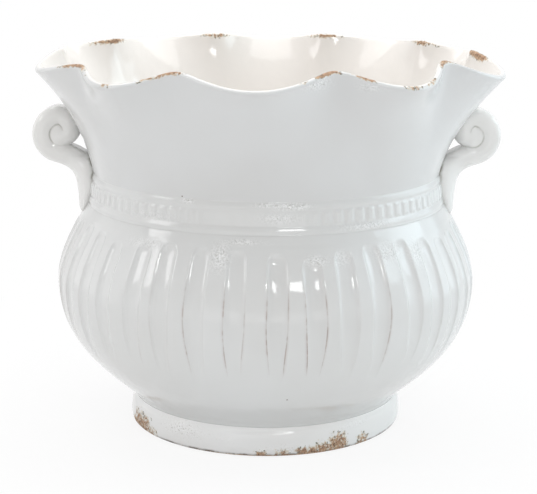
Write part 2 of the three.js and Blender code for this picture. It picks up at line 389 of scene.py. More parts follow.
# %% Foot out of true
foot_net = net_of(foot, foot_columns)
foot_radius, foot_rise = laid_out(foot_outline, foot_columns)
foot_turn = np.arange(foot_columns)[:, None] / foot_columns * math.tau + np.zeros_like(foot_radius)
foot_front = front_angle(np.degrees(foot_turn))
swell = smooth_step(foot_rise, 0, 5) * (1 - smooth_step(foot_rise, 17, foot_height))
out_of_true = 0.35 * np.sin(2 * foot_turn + 0.6) + 0.2 * np.sin(5 * foot_turn + 2)
bevel = np.interp(foot_rise, [15.6, 16.6, 18.6, foot_height + 0.5], [0, 0.15, 0.85, 0.6])
on_side = np.arange(len(foot_outline)) < len(foot_outside)
foot_radius = foot_radius + swell * out_of_true - bevel * on_side * near(foot_front, 4, 14)
settle(foot, foot_net, foot_radius, foot_rise, foot_turn)
print("foot: out of true by up to", round(float(np.abs(out_of_true).max()), 2), "mm")

# %% [markdown]
# ## The bowl and its flutes
# The bowl was thrown plain and its 38 flutes were cut with a loop tool while the clay was leather
# hard. A flute has a round top, a flat floor between two steep sides, and it runs out towards the
# foot. Boolean cutters would leave long thin faces and hard corners. Here the columns of the net are
# gathered at the sides, and every point inside a flute sinks to its floor, so the edges stay crisp
# with few faces.

# %% Bowl outline
bowl_low, bowl_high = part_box("belly_bowl")
bowl_base, seam_height = bowl_low.z / MM, bowl_high.z / MM
belt_radius, belt_height = 154.9, 110
belt = (belt_radius, belt_height)
lower_side = bezier([(97.4, bowl_base), (119.4, 43.6), (belt_radius, 61.3), belt], 60)
fillet_top, fillet_reach, fillet_size = 28, 6.5, 1.9
lower_side = [
    (r + fillet_size * (max(0, fillet_top - z) / fillet_reach) ** 2, z) for r, z in lower_side
]
upper_side = bezier([belt, (belt_radius, 128.2), (141, 149.9), (131.5, 167)], 48)
outer_side = lower_side + upper_side[1:]
print("bowl side:", len(outer_side), "rows up to a height of", outer_side[-1][1])


def inset(line, wall):
    """A line of (radius, height) moved into the wall by a thickness."""
    points = np.array(line)
    along = np.gradient(points, axis=0)
    along /= np.linalg.norm(along, axis=1)[:, None]
    return points + np.stack([-along[:, 1], along[:, 0]], axis=1) * np.reshape(wall, (-1, 1))


bowl_wall, floor_top, drain = 8, 33.5, 9
seat, neck = 126, 119  # radius of the band's ledge and of the mouth under the collar
inner_side = [tuple(p) for p in inset(outer_side[::4], bowl_wall) if p[1] > floor_top + 3]
corner = inner_side[0][0]
bowl_outline = outer_side + [(seat + 2, 167.6), (seat, 169.5), (seat, seam_height), (neck, seam_height)]
bowl_outline += inner_side[::-1] + [(corner - 3, floor_top + 1), (corner - 8, floor_top)]
bowl_outline += [(60, floor_top), (16, floor_top), (drain + 2.5, floor_top - 0.2), (drain, floor_top - 2)]
bowl_outline += [(drain, bowl_base + 1.5), (drain + 1, bowl_base), (60, bowl_base), (90, bowl_base)]

# %% Spin the bowl
flute_count, flute_width = 38, 14.6
# places of the columns across a flute, whose edges are at -1 and 1
cuts_across = [-1.5, -1.2, -1.06, -0.98, -0.9, -0.8, -0.6, -0.25, 0.25, 0.6, 0.8, 0.9, 0.98, 1.06, 1.2]
columns_each = len(cuts_across)
bowl_columns = flute_count * columns_each
bowl = spun("fluted_bowl", bowl_outline, bowl_columns)
bowl_net = net_of(bowl, bowl_columns)


# %% Where the flutes run
def flute_middle(index):
    """The angle of a flute from the front, in degrees: even spacing with the drift of hand work."""
    even = 360 / flute_count * index
    drift = np.sin(np.radians(2 * even + 59)) + np.sin(np.radians(3 * even - 21))
    return even + 1.6 + 1.2 * drift


index = np.arange(flute_count)
middle = flute_middle(index)
flute_top = 156.3 + 2.5 * np.cos(np.radians(7 * (middle - 36)))
# how far single flutes slipped: sideways in degrees and upwards in millimetres
slipped = {0: (0.7, 0.6), 1: (0.1, -1.6), 2: (-0.9, 0.8), 3: (-1.7, 0.2), 34: (1.2, 2.6), 35: (0, 2.4)}
for flute, (sideways, upwards) in slipped.items():
    middle[flute] += sideways
    flute_top[flute] += upwards
half_angle = math.degrees(flute_width / 2 / belt_radius)
print("flutes are", round(2 * half_angle, 2), "degrees wide and", round(360 / flute_count, 2), "apart")

# %% Gather the columns at the edges of the flutes
which = np.repeat(index, columns_each)
across = np.tile(cuts_across, flute_count)
bowl_radius, bowl_rise = laid_out(bowl_outline, bowl_columns)
is_side = np.arange(len(bowl_outline)) < len(outer_side)
slimness = 0.62 + 0.38 * smooth_step(bowl_rise, 66, 112)
sway = 0.22 * np.sin(bowl_rise / 19 + which[:, None] * 2.4) * smooth_step(bowl_rise, 60, 90)
in_flute = np.clip(1.5 - np.abs(across), 0, 0.5)[:, None] * 2
stretch = 1 + (slimness - 1) * in_flute
bowl_front = middle[which][:, None] + across[:, None] * half_angle * stretch + sway * in_flute
print("each flute is drawn by", columns_each, "columns")

# %% Cut the flutes
rounded = 7.5
round_top = np.maximum(0, (bowl_rise - flute_top[which][:, None] + rounded) / rounded)
bottom = 66 + 5 * np.sin(which * 1.9)[:, None]
depth = 1.95 * smooth_step(bowl_rise, bottom - 4, bottom + 44)
hollow = soft_part(1 - across[:, None] ** 4 - round_top**2, 0.12)
fade = smooth_step(bowl_rise, bottom - 3, bottom + 6) * (bowl_rise < 162)
burr_line = np.abs(np.sqrt(across[:, None] ** 2 + round_top**2) - 1.1)
burr = 0.28 * np.exp(-((burr_line / 0.1) ** 2)) * smooth_step(bowl_rise, 118, 140)
bowl_radius = bowl_radius - np.where(is_side, depth * hollow * fade - burr * (bowl_rise < 165), 0)
wobble = 0.25 * np.sin(np.radians(3 * bowl_front + 40)) + 0.15 * np.sin(np.radians(7 * bowl_front))
wobble = wobble * smooth_step(bowl_rise, 30, 60) * (bowl_rise < 160)
bowl_radius = bowl_radius + np.where(is_side, wobble, 0)
settle(bowl, bowl_net, bowl_radius, bowl_rise, np.radians(bowl_front - 90))
print("bowl radius up to", round(bowl_radius.max(), 1), "mm, flutes", round(depth.max(), 2), "mm deep")

# %% [markdown]
# ## The collar and its pinched rim
# The collar was thrown as a plain flare and its rim was pinched up at ten places, so it rolls out
# and down between them. Moving a plain rim up and down wouldn't roll it. So each column of the net
# is a mix of two profiles, that of a crest and that of a lobe, and the mix swings from one to the
# other round the rim. The wall thins towards the lip.

# %% Crest and lobe profiles
collar_low, collar_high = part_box("neck_collar")
collar_columns = 480
crests = np.array(
    [
        # angle from the +X side, radius and height, then radius, height and lean of the next lobe
        (7.6, 157.3, 273.2, 169, 267, 0),
        (36.4, 153, 274, 169, 268.3, 0),
        (71.6, 153, 274, 169, 267, 0),
        (105.9, 153, 274, 169, 268.3, 0),
        (143.8, 153, 274, 169, 269, 0),
        (171.6, 159, 272.8, 167.5, 263.8, 0.15),
        (215, 156, 273, 169, 263.2, 0),
        (247.4, 155, 274.3, 169, 263.7, 0),
        (287.1, 150.5, 275.5, 169, 263.7, 0),
        (323.1, 151.5, 277, 174, 262.2, 0.28),
    ]
)
waist, throat = (127.5, 188.4), (133, 214.9)
rim_turn = np.arange(collar_columns) / collar_columns * 360
rim_front = front_angle(rim_turn)
posts = np.append(crests[:, 0], crests[0, 0] + 360)
unrolled = np.where(rim_turn < posts[0], rim_turn + 360, rim_turn)
last = np.searchsorted(posts, unrolled, side="right") - 1
onward = ((unrolled - posts[last]) / (posts[last + 1] - posts[last]))[:, None]
crest_ends = crests[last, 1:3] * (1 - onward) + crests[(last + 1) % len(crests), 1:3] * onward
lobe_ends = crests[last, 3:5]
leaning = onward[:, 0] * (1 + crests[last, 5] * (1 - onward[:, 0]))
crest_rounding = 0.3
swing = np.hypot(np.sin(np.pi * leaning), crest_rounding) - crest_rounding
lobe_share = swing / (math.hypot(1, crest_rounding) - crest_rounding)
print("rim:", len(crests), "crests, rolled out by up to", round(float(lobe_share.max()), 2))

# %% Mix the two profiles round the rim
rows_up = 64
outside = []
for rolled, crest_end, lobe_end in zip(lobe_share, crest_ends, lobe_ends):
    crest_line = np.array(bezier([waist, throat, crest_end - (3, 31), crest_end], rows_up))
    lobe_line = np.array(bezier([waist, throat, lobe_end - (24, 25), lobe_end], rows_up))
    outside.append(crest_line * (1 - rolled) + lobe_line * rolled)
print("collar profiles:", len(outside), "with", rows_up, "points each")

# %% Wall and lip
collar_seat = collar_low.z / MM
collar_wall = np.linspace(7, 5, rows_up)
lip_angles = np.radians([18, 38, 60, 90, 120, 142, 162])
hidden_foot = [(119.5, 182), (119.2, collar_seat), (seat, collar_seat), (seat, 187.6)]
collar_sections = []
for line in outside:
    inside = inset(line, collar_wall)
    lip_middle, lip_half = (line[-1] + inside[-1]) / 2, (line[-1] - inside[-1]) / 2
    crown = np.array([-lip_half[1], lip_half[0]]) * 0.8
    round_lip = [lip_middle + lip_half * math.cos(a) + crown * math.sin(a) for a in lip_angles]
    collar_sections.append(np.array([*line, *round_lip, *inside[::-2], *hidden_foot]))
collar_sections = np.array(collar_sections)
collar_outline = [tuple(p) for p in collar_sections[0]]
collar = spun("pinched_collar", collar_outline, collar_columns)
collar_net = net_of(collar, collar_columns)
collar_radius, collar_rise = collar_sections[:, :, 0], collar_sections[:, :, 1]
collar_turn = np.radians(rim_turn)[:, None] + np.zeros_like(collar_radius)
settle(collar, collar_net, collar_radius, collar_rise, collar_turn)
print("highest crest:", round(collar_rise.max(), 1), "mm; solid:", round(collar_high.z / MM, 1), "mm")

# %% [markdown]
# ## The band over the seam
# A pressed strip of clay hides the seam: a round ridge below, a smaller one above, and a row of
# small blocks, called dentils, between. In front and to the left the glaze has flooded the
# dentils until they barely show. The strip is spun and its dentils are pushed out by a soft-edged
# step in both directions.

# %% Band outline
band_low, band_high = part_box("relief_band")
low, high = band_low.z / MM, band_high.z / MM
dentil_count, across_dentil = 98, 9
band_columns = dentil_count * across_dentil


def ridge(z, crest, size):
    """How far a ridge stands out at a height: round below its crest and bevelled above it."""
    rise = [-2.6, -1.7, -0.9, -0.2, 0.4, 1.9, 2.4, 3.1]
    relief = [0, 0.3, 0.7, 0.85, 0.8, 0.48, 0.2, 0]
    return size * np.interp(z - crest, rise, relief)


band_side = [(131.65, low - 0.5), (130.8, low + 1.2), (130.2, low + 3.4), (129.5, low + 8)]
band_side += [(128.8, low + 14), (128.1, low + 18.5), (127.75, high), (127.66, high + 1.3)]
band_face = np.array(smooth_through(band_side, 8))
band_rows = band_face[:, 1]
face_radius = band_face[:, 0] + ridge(band_rows, low + 2.3, 1) + ridge(band_rows, high - 2.4, 0.75)
band_back = [(seat + 0.4, high - 0.2), (seat + 0.3, collar_seat), (seat + 0.4, low + 0.3)]
band_outline = list(zip(face_radius, band_rows)) + band_back
band = spun("dentil_band", band_outline, band_columns)
band_net = net_of(band, band_columns)

# %% Push out the dentils
band_turn = np.arange(band_columns) / band_columns * 360
band_front = front_angle(band_turn)
dentil_width, ring_of_dentils = 5, 128
phase = (np.arange(band_columns) % across_dentil) / across_dentil - 0.5
half_block = 0.5 * dentil_width / (math.tau * ring_of_dentils / dentil_count)
block_across = smooth_step(-np.abs(phase), -half_block - 0.1, -half_block + 0.1)
block_up = smooth_step(-np.abs(band_rows - (low + high) / 2), -5.6, -3)
flooded = 0.9 * smooth_step(-np.abs(band_front + 5), -24, -11)
uneven = 0.85 + 0.15 * np.sin(band_turn / 7.3) * np.sin(band_turn / 2.9 + 1)
dentils = 0.95 * block_across[:, None] * block_up[None, :] * ((1 - flooded) * uneven)[:, None]
band_radius, band_rise = laid_out(band_outline, band_columns)
band_radius[:, : len(band_rows)] += dentils
band_angle = np.radians(band_turn)[:, None] + np.zeros_like(band_radius)
settle(band, band_net, band_radius, band_rise, band_angle)
print("band:", dentil_count, "dentils between", round(low, 1), "and", round(high, 1), "mm")

# %% [markdown]
# ## The rolled handles
# Each handle is a strap of clay, rolled on itself at the top like a scroll and luted to the
# shoulder by its foot. Seen from the front it is one outline with a line pressed in where the
# turns meet. A strap swept along a curve would leave the turns apart, where the clay is pressed
# together. So the outline is filled, extruded to the strap's width and remeshed into an even skin,
# fine enough to round its edges and press that line into it.

# %% Scroll line
eye_x, eye_z = 151, 215
scroll_reach, eye_reach = 21.3, 8


def scroll_radius(angle):
    """The scroll's radius, full over its top and tightening to the eye."""
    closing = np.clip((angle - 80) / 170, 0, 1)
    hooked = 1 - 0.5 * np.clip((angle - 440) / 35, 0, 1)
    return (scroll_reach + (eye_reach - scroll_reach) * closing) * hooked


def scroll_points(start, end, count):
    """Points along the scroll in the plane of the handle, as (across, up) pairs."""
    angles = np.linspace(start, end, count)
    reach = scroll_radius(angles)
    return [
        (eye_x + r * math.cos(a), eye_z + r * math.sin(a)) for r, a in zip(reach, np.radians(angles))
    ]


strap_back = [(135.5, 156.5), (138.2, 162), (138.9, 174), (141.2, 184.5), (145.8, 190), (151.5, 192.9)]
handle_outline = smooth_through(strap_back, 5)
handle_outline += scroll_points(-75, 215, 60)
handle_outline += [(145, 207.6), (139, 204.9), (133.7, 202), (126, 198), (123.5, 190), (123.5, 176)]
handle_outline += [(128, 168), (130.5, 160)]
pressed_line = np.array(scroll_points(232, 475, 140))
print("handle outline:", len(handle_outline), "points")

# %% Extrude and remesh the strap
half_strap = 11.5
strap = bmesh.new()
edge_points = [strap.verts.new((x * MM, -half_strap * MM, z * MM)) for x, z in handle_outline]
front_face = strap.faces.new(edge_points)
pulled = bmesh.ops.extrude_face_region(strap, geom=[front_face])
back_points = [v for v in pulled["geom"] if isinstance(v, bmesh.types.BMVert)]
bmesh.ops.translate(strap, vec=(0, 2 * half_strap * MM, 0), verts=back_points)
bmesh.ops.recalc_face_normals(strap, faces=strap.faces)
right_handle = object_of(strap, "scroll_handle_right")

even_skin = right_handle.modifiers.new("even_skin", "REMESH")
even_skin.mode = "VOXEL"
even_skin.voxel_size = 0.6 * MM
bpy.context.view_layer.update()
skinned = right_handle.evaluated_get(bpy.context.evaluated_depsgraph_get())
right_handle.data = bpy.data.meshes.new_from_object(skinned)
right_handle.data.name = "scroll_handle_right"
right_handle.modifiers.clear()
print("handle skin:", len(right_handle.data.polygons), "faces")


# %% Distances in the plane of the handle
def distance_to_line(points, line, closed):
    """The shortest distance from each point to a line of stretches, and where along it that is."""
    starts = np.array(line, dtype=float)
    ends = np.roll(starts, -1, axis=0)
    if not closed:
        starts, ends = starts[:-1], ends[:-1]
    step = ends - starts
    best = np.full(len(points), np.inf)
    place = np.zeros(len(points))
    for i, (start, along) in enumerate(zip(starts, step)):
        t = np.clip((points - start) @ along / max(along @ along, 1e-12), 0, 1)
        away = np.linalg.norm(points - start - t[:, None] * along, axis=1)
        closer = away < best
        best[closer] = away[closer]
        place[closer] = (i + t[closer]) / len(starts)
    return best, place


# %% Round the strap and press the line
spots = points_of(right_handle) / MM
in_plane = spots[:, [0, 2]]
from_edge, _ = distance_to_line(in_plane, handle_outline, closed=True)
from_line, along_line = distance_to_line(in_plane, pressed_line, closed=False)
corner_reach, corner_depth = 6.5, 4.6
shoulder = 1 - np.clip(from_edge / corner_reach, 0, 1)
rounding = corner_depth * (1 - np.sqrt(1 - shoulder**2))
line_strength = 1 - 0.6 * smooth_step(along_line, 0.86, 1)
valley = 1 - smooth_step(from_line, 0, 5.5)
groove = np.exp(-((from_line / 0.5) ** 2))
pressed = line_strength * (1.3 * valley + 0.8 * groove)
crowned = 1.1 * (1 - np.clip(from_edge / 10, 0, 1)) ** 2
near_wall = smooth_step(-spots[:, 0], -146, -129)
pad_middle, pad_half_height = 176, 24
pad = np.sqrt(np.clip(1 - ((spots[:, 2] - pad_middle) / pad_half_height) ** 2, 0, 1))
smeared = 10 * near_wall * pad
tucked = 4.5 * near_wall * smooth_step(spots[:, 2], 205, 212)
spots[:, 1] *= (half_strap - rounding - crowned - pressed + smeared - tucked) / half_strap
right_handle.data.vertices.foreach_set("co", (spots * MM).ravel())
print("handle: from", round(spots[:, 0].min(), 1), "to", round(spots[:, 0].max(), 1), "mm from the axis")

# %% Painted shade and pooled glaze in the turns and along the seam with the wall
neck_side = collar_sections[0, :rows_up]
wall_line = [p for p in outer_side if p[1] < low - 0.5] + list(zip(face_radius, band_rows))
wall_line = np.array(wall_line + [tuple(p) for p in neck_side if p[1] > high + 1.3])
from_wall = np.hypot(spots[:, 0], spots[:, 1]) - np.interp(spots[:, 2], wall_line[:, 1], wall_line[:, 0])
# the seam with the wall is painted dark: painted shade between strap and wall, with some glaze pooled
# there
seam = np.exp(-((from_wall / 1.1) ** 2)) * (0.4 + 0.6 * smooth_step(spots[:, 2], 180, 190))
seam *= 1 - smooth_step(spots[:, 2], 204, 210)
# the pressed groove in the turns is painted dark too, as painted shade in the groove
groove_and_seam_shade = np.maximum(0.7 * line_strength * groove, seam)
handle_shade_layer = right_handle.data.attributes.new("line", "FLOAT", "POINT")
handle_shade_layer.data.foreach_set("value", groove_and_seam_shade.astype(np.float32))
print("seam touches the wall at", int((np.abs(from_wall) < 0.5).sum()), "points")

# %% Smooth the skin and mirror it
relax = bmesh.new()
relax.from_mesh(right_handle.data)
for _ in range(4):
    bmesh.ops.smooth_vert(
        relax, verts=relax.verts, factor=0.5, use_axis_x=True, use_axis_y=True, use_axis_z=True
    )
relax.to_mesh(right_handle.data)
bmesh.ops.scale(relax, vec=(-1, 1, 1), verts=relax.verts)
bmesh.ops.recalc_face_normals(relax, faces=relax.faces)
left_handle = object_of(relax, "scroll_handle_left")
right_handle.data.shade_smooth()
print("handles:", len(left_handle.data.vertices), "points each")

# %% [markdown]
# ## Where the glaze has gone
# Earthenware glaze is thinnest on edges and is rubbed off there first. It could be painted on by
# hand, but then each change of shape would need new paint. Here the points of a piece carry values
# worked out from where they lie: `wear` is high where the clay should show, `line` where the glaze
# is only thin and, on the handles and at the foot's base, where shade is painted, and `inside` where
# the creamy glaze of the inner wall begins. The materials roughen them with noise, so the values
# themselves can be simple bumps.

# %% Distance over the lip
row_number = np.arange(len(collar_outline))
crown_row = rows_up + len(lip_angles) // 2
lip_end = rows_up + len(lip_angles)
inside_end = lip_end + rows_up // 2
outside_step, lip_step, inside_step, far_away = 1.5, 0.8, 3, 99
half_lip = (lip_end - crown_row) * lip_step
down_outside = (rows_up - 1 - row_number) * outside_step + half_lip
down_inside = (row_number - lip_end) * inside_step + half_lip
over_lip = np.where(row_number < rows_up, -down_outside, (row_number - crown_row) * lip_step)
over_lip = np.where(row_number >= lip_end, down_inside, over_lip)
over_lip = np.where(row_number >= inside_end, far_away, over_lip)
print("over the lip:", [round(float(step), 1) for step in over_lip[rows_up - 2 : lip_end + 2]], "mm")


# %% Wear on the rim
def patches(angle, rows):
    """The sum of bumps round the pot, from rows of middle angle, half width and strength."""
    return sum(near(angle, *place) * strength for *place, strength in rows)


front_crests = [
    # middle angle and half width in degrees from the front, and strength
    (-24, 5.4, 0.72),
    (-56, 9.5, 0.7),
    (15, 5.4, 0.7),
    (52, 5.6, 0.64),
]
back_crests = [
    (97, 7, 0.69),
    (90, 4, 0.62),
    (126.4, 7.5, 0.61),
    (161.6, 8, 0.61),
    (-126, 10, 0.67),
    (-164, 7, 0.61),
]
chips = [(23.6, 3.4, 0.73), (34, 3, 0.56), (41, 4, 0.55), (-29.5, 2.6, 0.6), (-39, 4, 0.5), (8, 3, 0.5)]
rim_wear = np.zeros((collar_columns, len(row_number)))
for rows, centre, reach in ((front_crests, -0.6, 3.3), (back_crests, 3, 4), (chips, 0, 2.6)):
    strip = np.exp(-(((over_lip - centre) / reach) ** 2))
    rim_wear = np.maximum(rim_wear, patches(rim_front, rows)[:, None] * strip)
record(collar, collar_net, "wear", rim_wear)
is_inside = (row_number > crown_row) & (row_number < inside_end + 2)
record(collar, collar_net, "inside", np.tile(is_inside.astype(float), (collar_columns, 1)))
print("rim wear up to", round(float(rim_wear.max()), 2))

# %% Wear on the foot
foot_patches = [
    # middle angle and half width in degrees, reach up from the ground in mm, and strength
    (-64, 11, 19, 0.6),
    (-55, 7, 11, 0.53),
    (-70, 7, 10, 0.63),
    (17, 6, 9, 0.61),
    (24, 6, 12, 0.6),
    (31, 6, 17, 0.62),
    (7, 5, 9, 0.52),
    (-2, 4, 8, 0.55),
    (44, 5, 13, 0.52),
    (110, 14, 8, 0.55),
    (200, 9, 11, 0.56),
    (-120, 12, 7, 0.55),
]
on_ground = foot_rise / 2.4
foot_wear = 0.85 * np.exp(-(on_ground**2)) * (0.3 + 0.7 * near(foot_front, 8, 45))
for place, half, reach, strength in foot_patches:
    sideways = np.exp(-((wrapped(foot_front - place) / half) ** 4))
    foot_wear = np.maximum(foot_wear, strength * sideways * np.exp(-((foot_rise / reach) ** 4)))
record(foot, foot_net, "wear", foot_wear)
# a dark line at the foot's base: bare clay, darkened further as a painted contact shadow at the floor
record(foot, foot_net, "line", 2 * np.exp(-(on_ground**4)))
print("foot wear:", len(foot_patches), "patches")

# %% Thin glaze along the flutes
# flutes by their angle from the front, with the strength of the line on their left and right edge
strongest = {-18: (0.7, 0.05), -8: (0.9, 0.5), 3: (0.9, 0.85), 13: (1, 0.9), 22: (0.1, 0.02)}
strongest |= {31: (0.15, 0.6), 150: (0.8, 0.3), 160: (0.7, 0.6), 205: (0.2, 0.7), 250: (0.6, 0.2)}
left_line = 0.12 + 0.1 * np.sin(index * 5.3)
right_line = 0.12 + 0.1 * np.sin(index * 3.7 + 2)
for place, (left, right) in strongest.items():
    nearest = np.argmin(np.abs(wrapped(middle - place)))
    left_line[nearest], right_line[nearest] = left, right
edge = np.exp(-(((np.abs(across) - 1) / 0.045) ** 2))
on_edge = edge * np.where(across < 0, left_line[which], right_line[which])
along = smooth_step(bowl_rise, 72, 84) * (1 - smooth_step(bowl_rise, 118, 142))
record(bowl, bowl_net, "line", on_edge[:, None] * along * is_side)
in_room = np.arange(len(bowl_outline)) >= len(outer_side) + 3
record(bowl, bowl_net, "inside", np.tile(in_room.astype(float), (bowl_columns, 1)))
print("flute edges with thin glaze:", int((left_line > 0.5).sum() + (right_line > 0.5).sum()))

# %% [markdown]
# ## Pitted glaze
# In a few places the glaze boiled in the kiln and set with a fine pitted skin, which sparkles in
# the light. One more value, `pitted`, marks those places: each is a soft oval round an angle and a
# height. Pits cut into the mesh would need far more faces, so they are made in the material, which
# also paints their sparkle: white specks as painted glints and dark specks as painted shade.


# %% Mark the pitted places
def ovals(angle, rise, rows):
    """Soft ovals from rows of middle angle, middle height, half width, half height and strength."""
    total = np.zeros(np.broadcast(angle, rise).shape)
    for middle_angle, middle_rise, half_width, half_rise, strength in rows:
        up = (rise - middle_rise) / half_rise
        total = np.maximum(total, strength * near(angle, middle_angle, half_width) * np.exp(-(up**2)))
    return total


bowl_pits = [(-12.8, 153, 2.2, 7, 1), (13.8, 151, 2.5, 3, 0.8), (21, 151, 2, 4, 0.6)]
bowl_pits += [(36.5, 152, 4, 5, 0.6), (47, 148, 3, 7, 0.5), (-7, 163, 5, 1.6, 0.6), (-36, 157, 6, 3, 0.4)]
record(bowl, bowl_net, "pitted", ovals(bowl_front, bowl_rise, bowl_pits) * is_side)
band_pits = [(7.5, 186, 4.5, 2, 1), (0, 187, 3, 1.5, 0.8), (4, 178, 5, 3, 0.5), (-24, 187.8, 1.5, 1.5, 1)]
band_pits += [(-36, 175, 8, 3, 0.3), (32, 170, 8, 2, 0.6)]
record(band, band_net, "pitted", ovals(band_front[:, None], band_rise, band_pits))
# the spots at -36 and -16 degrees stand for highlights on the foot, painted as glints
foot_pits_and_painted_glints = [(-36, 14, 9, 5, 0.9), (-16, 12, 4, 2, 0.4), (40, 17, 7, 2, 0.5), (8, 6, 10, 3, 0.4)]
record(foot, foot_net, "pitted", ovals(foot_front, foot_rise, foot_pits_and_painted_glints))
collar_pits = [(12, 271, 3, 4, 0.8), (25, 268, 2.5, 3, 0.4)]
rim_pitted = ovals(rim_front[:, None], collar_rise, collar_pits) * (row_number < rows_up)
record(collar, collar_net, "pitted", rim_pitted)
print("pitted places:", len(bowl_pits) + len(band_pits) + len(foot_pits_and_painted_glints) + len(collar_pits))

# %% [markdown]
# ## The glaze as node groups
# Four effects are shared by all the pieces, so each is a node group. `Cloudy glaze` gives the soft
# variation of a dipped white glaze with its pinholes. `Pitted skin` breaks it into bright specks,
# painted glints, and dark specks, painted shade in the pits, where it boiled. `Thin glaze` lets
# brown clay show through along edges and pressed lines, and paints the shade in the handles' seams
# and the contact shadow at the foot's base. `Rubbed to clay` breaks the glaze away where `wear` is
# high.


# %% Node group helper
def new_group(name, inputs, outputs):
    """An empty shader group with named sockets, given as rows of name, kind and default."""
    group = bpy.data.node_groups.new(name, "ShaderNodeTree")
    for label, kind, default in inputs:
        socket = group.interface.new_socket(label, in_out="INPUT", socket_type=kind)
        socket.default_value = default
    for label, kind in outputs:
        group.interface.new_socket(label, in_out="OUTPUT", socket_type=kind)
    start = add_node(group, "NodeGroupInput")
    end = add_node(group, "NodeGroupOutput")
    return group, start, end


COLOUR, NUMBER = "NodeSocketColor", "NodeSocketFloat"


def noise(tree, scale, detail, roughness=0.5):
    """Noise on Object coordinates; the scale counts features to the metre."""
    place = add_node(tree, "ShaderNodeTexCoord")
    made = add_node(tree, "ShaderNodeTexNoise")
    made.inputs["Scale"].default_value = scale
    made.inputs["Detail"].default_value = detail
    made.inputs["Roughness"].default_value = roughness
    wire(tree, place.outputs["Object"], made.inputs["Vector"])
    return made.outputs["Fac"]


def blend(tree, mask, first, second):
    """Mixes two colours by a mask. A colour is a socket or a plain tuple."""
    made = add_node(tree, "ShaderNodeMix", data_type="RGBA")
    wire(tree, mask, made.inputs["Factor"])
    for slot, value in zip((made.inputs[6], made.inputs[7]), (first, second)):
        if isinstance(value, tuple):
            slot.default_value = (*value, 1)
        else:
            wire(tree, value, slot)
    return made.outputs[2]


# %% Cloudy glaze
cloudy, cloudy_in, cloudy_out = new_group(
    "Cloudy glaze",
    [("Thick", COLOUR, (0.74, 0.74, 0.73, 1)), ("Thin", COLOUR, (0.7, 0.68, 0.65, 1))],
    [("Colour", COLOUR), ("Roughness", NUMBER), ("Height", NUMBER)],
)
cloud = ramp(cloudy, noise(cloudy, 11, 2), 0.35, 0.7)
tone = blend(cloudy, cloud, cloudy_in.outputs["Thick"], cloudy_in.outputs["Thin"])
holes = add_node(cloudy, "ShaderNodeTexVoronoi")
holes.inputs["Scale"].default_value = 70
hole_place = add_node(cloudy, "ShaderNodeTexCoord")
wire(cloudy, hole_place.outputs["Object"], holes.inputs["Vector"])
tiny = ramp(cloudy, holes.outputs["Distance"], 0.03, 0.055, 1, 0)
chosen = add_node(cloudy, "ShaderNodeSeparateColor")
wire(cloudy, holes.outputs["Color"], chosen.inputs[0])
rare = ramp(cloudy, chosen.outputs[0], 0.05, 0.07, 1, 0)
pinhole = arithmetic(cloudy, "MULTIPLY", tiny, rare)
wire(cloudy, blend(cloudy, pinhole, tone, (0.16, 0.1, 0.07)), cloudy_out.inputs["Colour"])
gloss = ramp(cloudy, noise(cloudy, 35, 3), 0.3, 0.7, 0.06, 0.11)
wire(cloudy, gloss, cloudy_out.inputs["Roughness"])
ripple = arithmetic(cloudy, "MULTIPLY", noise(cloudy, 30, 3), 2.2)
peel = arithmetic(cloudy, "MULTIPLY", noise(cloudy, 260, 2), 0.05)
rippled = arithmetic(cloudy, "ADD", ripple, peel)
wire(cloudy, arithmetic(cloudy, "SUBTRACT", rippled, pinhole), cloudy_out.inputs["Height"])
print(cloudy.name, "has", len(cloudy.nodes), "nodes")

# %% Pitted skin and painted glints
boiled, boiled_in, boiled_out = new_group(
    "Pitted skin and painted glints",
    [("Colour", COLOUR, (0.74, 0.74, 0.73, 1)), ("Pitted", NUMBER, 0.0)],
    [("Colour", COLOUR), ("Height", NUMBER)],
)
where_pitted = boiled_in.outputs["Pitted"]
bubbles = noise(boiled, 800, 2, 0.6)
# white specks are painted glints, and dark specks are painted shade in the pits
painted_glint = arithmetic(boiled, "MULTIPLY", ramp(boiled, bubbles, 0.5, 0.56), where_pitted)
painted_pit_shade = arithmetic(boiled, "MULTIPLY", ramp(boiled, bubbles, 0.32, 0.37, 1, 0), where_pitted)
lit = blend(boiled, painted_glint, boiled_in.outputs["Colour"], (1, 1, 1))
wire(boiled, blend(boiled, painted_pit_shade, lit, (0.4, 0.38, 0.34)), boiled_out.inputs["Colour"])
pit_depth = arithmetic(boiled, "MULTIPLY", bubbles, where_pitted)
wire(boiled, arithmetic(boiled, "MULTIPLY", pit_depth, 6), boiled_out.inputs["Height"])
print(boiled.name, "has", len(boiled.nodes), "nodes")

# %% Thin glaze and painted shade
thin_glaze_and_shade, thin_in, thin_out = new_group(
    "Thin glaze and painted shade",
    [
        ("Colour", COLOUR, (0.74, 0.74, 0.73, 1)),
        ("Line", NUMBER, 0.0),
        ("Clay", COLOUR, (0.36, 0.19, 0.15, 1)),
        ("Dark Clay", COLOUR, (0.2, 0.13, 0.11, 1)),
    ],
    [("Colour", COLOUR)],
)
# Line shows the Clay colours: clay under thin glaze, and painted shade in seams and at the foot's base
broken = ramp(thin_glaze_and_shade, noise(thin_glaze_and_shade, 90, 3, 0.6), 0.38, 0.62, 0.25, 1)
show = arithmetic(thin_glaze_and_shade, "MULTIPLY", thin_in.outputs["Line"], broken, clamp=True)
brown = blend(thin_glaze_and_shade, noise(thin_glaze_and_shade, 160, 2), thin_in.outputs["Clay"], thin_in.outputs["Dark Clay"])
wire(thin_glaze_and_shade, blend(thin_glaze_and_shade, show, thin_in.outputs["Colour"], brown), thin_out.inputs["Colour"])
print(thin_glaze_and_shade.name, "has", len(thin_glaze_and_shade.nodes), "nodes")

